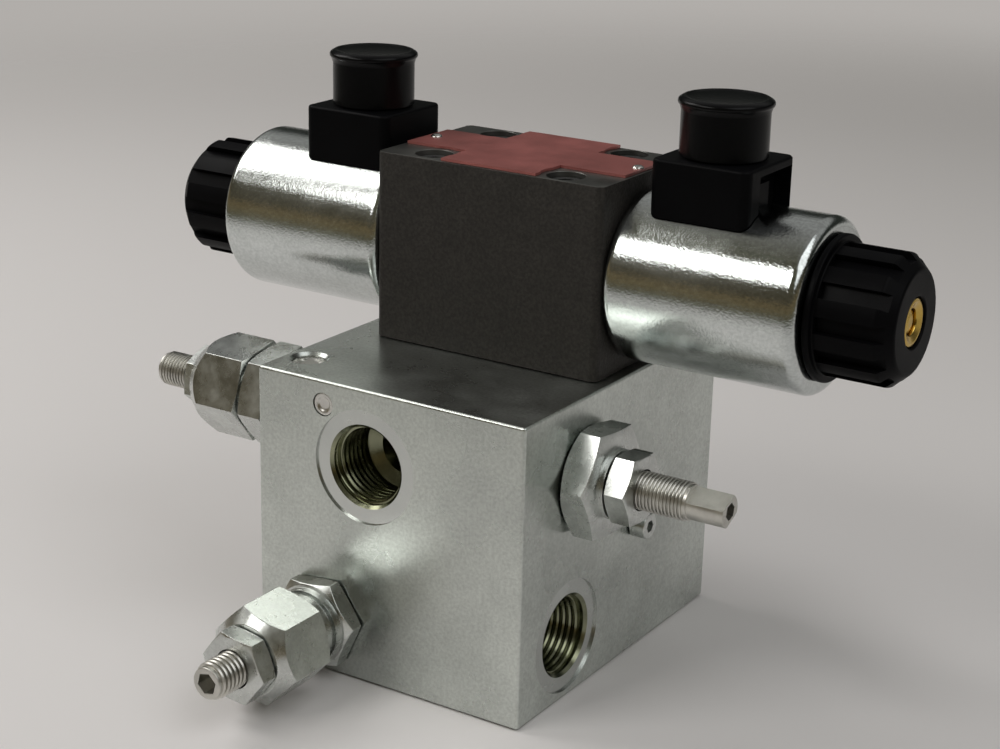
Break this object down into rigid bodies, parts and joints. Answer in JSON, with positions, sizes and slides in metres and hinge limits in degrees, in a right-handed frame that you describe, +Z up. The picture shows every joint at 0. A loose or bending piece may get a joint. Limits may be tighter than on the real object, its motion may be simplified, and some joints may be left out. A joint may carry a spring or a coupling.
{
  "type": "hydraulic rotation valve",
  "caption": "Hydraulic manifold block with a double-solenoid directional valve on top, screw-in cartridge valves with adjusting screws and threaded side ports.",
  "frame": {"origin": "centre of the manifold block's base face", "axes": "+X along the spool, +Z up, away from the base face; the large front port faces -Y"},
  "size_m": [0.2173, 0.1504, 0.1526],
  "materials": {
    "zinc": "satin",
    "iron": "matte",
    "chrome": "polished",
    "steel": "satin",
    "black": "satin",
    "brass": "satin",
    "rubber": "matte",
    "red": "satin",
    "spring": "satin"
  },
  "bodies": {
    "valve_unit": {"manifold_block": "zinc", "top_expander_plug": "steel", "front_expander_plug": "steel", "side_cap_screw": "zinc", "back_plug": "zinc", "valve_body": "iron", "left_centring_spring": "spring", "left_core_tube": "steel", "left_override_guide": "brass", "right_centring_spring": "spring", "right_core_tube": "steel", "right_override_guide": "brass", "name_plate": "red", "valve_bolt_1": "iron", "interface_ring_1": "rubber", "valve_bolt_2": "iron", "interface_ring_2": "rubber", "valve_bolt_3": "iron", "interface_ring_3": "rubber", "valve_bolt_4": "iron", "interface_ring_4": "rubber", "left_cartridge_body": "zinc", "left_cartridge_seal": "rubber", "left_cartridge_spring": "spring", "front_cartridge_body": "zinc", "front_cartridge_seal": "rubber", "front_cartridge_spring": "spring", "right_cartridge_body": "zinc", "right_cartridge_seal": "rubber", "right_cartridge_spring": "spring"},
    "spool_train": {"spool": "steel", "left_spring_washer": "steel", "left_armature": "steel", "left_override_pin": "steel", "right_spring_washer": "steel", "right_armature": "steel", "right_override_pin": "steel"},
    "left_coil": {"left_coil_housing": "chrome", "left_connector_base": "black", "left_socket_insert": "brass"},
    "left_cap": {"left_connector_cap": "black"},
    "left_coil_nut": {"left_retaining_nut": "black"},
    "right_coil": {"right_coil_housing": "chrome", "right_connector_base": "black", "right_socket_insert": "brass"},
    "right_cap": {"right_connector_cap": "black"},
    "right_coil_nut": {"right_retaining_nut": "black"},
    "left_seat": {"left_spring_seat": "steel"},
    "left_screw": {"left_adjusting_screw": "zinc"},
    "left_nut": {"left_lock_nut": "zinc"},
    "left_valve_poppet": {"left_poppet": "steel"},
    "front_seat": {"front_spring_seat": "steel"},
    "front_screw": {"front_adjusting_screw": "zinc"},
    "front_nut": {"front_lock_nut": "zinc"},
    "front_valve_poppet": {"front_poppet": "steel"},
    "right_seat": {"right_spring_seat": "steel"},
    "right_screw": {"right_adjusting_screw": "zinc"},
    "right_nut": {"right_lock_nut": "zinc"},
    "right_valve_poppet": {"right_poppet": "steel"}
  },
  "joints": [
    {"name": "spool_shift", "type": "slide", "parent": "valve_unit", "child": "spool_train", "axis": [1, 0, 0], "range_m": [-0.0025, 0.0025], "stiffness_N_per_m": 2000, "deforming": ["left_centring_spring", "right_centring_spring"]},
    {"name": "left_coil_turn", "type": "hinge", "parent": "valve_unit", "child": "left_coil", "pos_m": [0.00305, 0.0104, 0.1045], "axis": [1, 0, 0], "range_deg": [-90, 90]},
    {"name": "left_cap_pull", "type": "slide", "parent": "left_coil", "child": "left_cap", "axis": [0, 0, 1], "range_m": [0, 0.014]},
    {"name": "left_coil_nut_turn", "type": "hinge", "parent": "valve_unit", "child": "left_coil_nut", "pos_m": [0.00305, 0.0104, 0.1045], "axis": [-1, 0, 0], "continuous": true},
    {"name": "right_coil_turn", "type": "hinge", "parent": "valve_unit", "child": "right_coil", "pos_m": [0.00305, 0.0104, 0.1045], "axis": [1, 0, 0], "range_deg": [-90, 90]},
    {"name": "right_cap_pull", "type": "slide", "parent": "right_coil", "child": "right_cap", "axis": [0, 0, 1], "range_m": [0, 0.014]},
    {"name": "right_coil_nut_turn", "type": "hinge", "parent": "valve_unit", "child": "right_coil_nut", "pos_m": [0.00305, 0.0104, 0.1045], "axis": [1, 0, 0], "continuous": true},
    {"name": "left_adjust_slide", "type": "slide", "parent": "valve_unit", "child": "left_seat", "axis": [-1, 0, 0], "range_m": [-0.002, 0.002]},
    {"name": "left_adjust_turn", "type": "hinge", "parent": "left_seat", "child": "left_screw", "pos_m": [-0.0405, -0.0355, 0.067], "axis": [-1, 0, 0], "range_deg": [-725, 725]},
    {"name": "left_lock_nut_turn", "type": "hinge", "parent": "valve_unit", "child": "left_nut", "pos_m": [-0.0405, -0.0355, 0.067], "axis": [-1, 0, 0], "continuous": true},
    {"name": "left_poppet_lift", "type": "slide", "parent": "valve_unit", "child": "left_valve_poppet", "axis": [-1, 0, 0], "range_m": [0, 0.0012], "stiffness_N_per_m": 200, "springref_m": -0.001, "deforming": ["left_cartridge_spring"]},
    {"name": "front_adjust_slide", "type": "slide", "parent": "valve_unit", "child": "front_seat", "axis": [0, -1, 0], "range_m": [-0.00187, 0.00187]},
    {"name": "front_adjust_turn", "type": "hinge", "parent": "front_seat", "child": "front_screw", "pos_m": [-0.0197, -0.05, 0.0148], "axis": [0, -1, 0], "range_deg": [-455, 455]},
    {"name": "front_lock_nut_turn", "type": "hinge", "parent": "valve_unit", "child": "front_nut", "pos_m": [-0.0197, -0.05, 0.0148], "axis": [0, -1, 0], "continuous": true},
    {"name": "front_poppet_lift", "type": "slide", "parent": "valve_unit", "child": "front_valve_poppet", "axis": [0, -1, 0], "range_m": [0, 0.0012], "stiffness_N_per_m": 200, "springref_m": -0.001, "deforming": ["front_cartridge_spring"]},
    {"name": "right_adjust_slide", "type": "slide", "parent": "valve_unit", "child": "right_seat", "axis": [1, 0, 0], "range_m": [-0.002, 0.002]},
    {"name": "right_adjust_turn", "type": "hinge", "parent": "right_seat", "child": "right_screw", "pos_m": [0.0405, -0.02, 0.0586], "axis": [1, 0, 0], "range_deg": [-725, 725]},
    {"name": "right_lock_nut_turn", "type": "hinge", "parent": "valve_unit", "child": "right_nut", "pos_m": [0.0405, -0.02, 0.0586], "axis": [1, 0, 0], "continuous": true},
    {"name": "right_poppet_lift", "type": "slide", "parent": "valve_unit", "child": "right_valve_poppet", "axis": [1, 0, 0], "range_m": [0, 0.0012], "stiffness_N_per_m": 200, "springref_m": -0.001, "deforming": ["right_cartridge_spring"]}
  ],
  "couplings": [
    {"joint": "left_adjust_turn", "follows": "left_adjust_slide", "rad_per_m": 6283.2},
    {"joint": "front_adjust_turn", "follows": "front_adjust_slide", "rad_per_m": 4188.8},
    {"joint": "right_adjust_turn", "follows": "right_adjust_slide", "rad_per_m": 6283.2}
  ]
}
